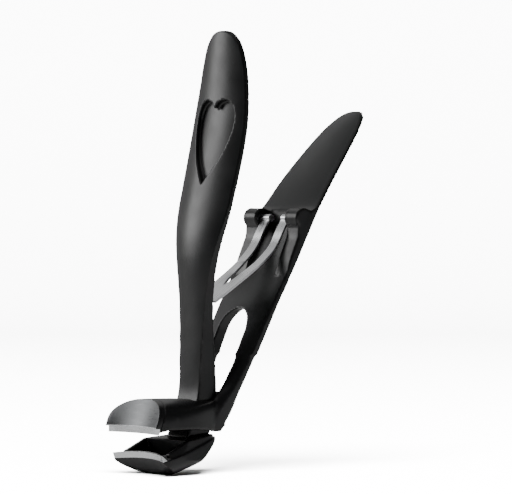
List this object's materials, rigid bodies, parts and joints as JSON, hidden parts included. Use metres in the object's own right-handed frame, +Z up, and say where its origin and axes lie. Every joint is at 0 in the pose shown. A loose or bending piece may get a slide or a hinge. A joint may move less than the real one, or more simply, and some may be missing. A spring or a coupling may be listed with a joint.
{
  "type": "nail clipper",
  "caption": "Plier-type nail clipper: a squeeze lever pinned in a slotted head raises a scoop jaw to a hollow-ground upper blade, and a forked leaf spring opens it again.",
  "frame": {"origin": "under the middle of the clipper's box, at the height of its lowest point, with the jaws open", "axes": "+Z up along the handles, -X the way the jaws point, Y across the width"},
  "size_m": [0.0531, 0.017, 0.082],
  "materials": {
    "black_coating": "satin black coating on forged steel",
    "ground_steel": "finely ground",
    "polished_steel": "polished",
    "spring_steel": "bright satin",
    "pin_steel": "turned, flush"
  },
  "bodies": {
    "handle": {"handle_frame": "black_coating", "upper_blade": "ground_steel", "pivot_pin": "pin_steel"},
    "lever": {"squeeze_lever": "black_coating", "lower_jaw": "black_coating", "lower_blade": "polished_steel", "jaw_screw": "pin_steel", "jaw_dowel": "pin_steel"},
    "spring": {"leaf_spring": "spring_steel"}
  },
  "joints": [
    {"name": "lever_hinge", "type": "hinge", "parent": "handle", "child": "lever", "pos_m": [-0.01205, 0, 0.01084], "axis": [0, 1, 0], "range_deg": [0, 16], "stiffness_Nm_per_rad": 0.6, "springref_deg": -28.65},
    {"name": "spring_hinge", "type": "hinge", "parent": "handle", "child": "spring", "pos_m": [0.00735, 0, 0.04714], "axis": [0, 1, 0], "range_deg": [-16.5, 0.5]}
  ],
  "couplings": [
    {"joint": "spring_hinge", "follows": "lever_hinge", "ratio": -1}
  ]
}
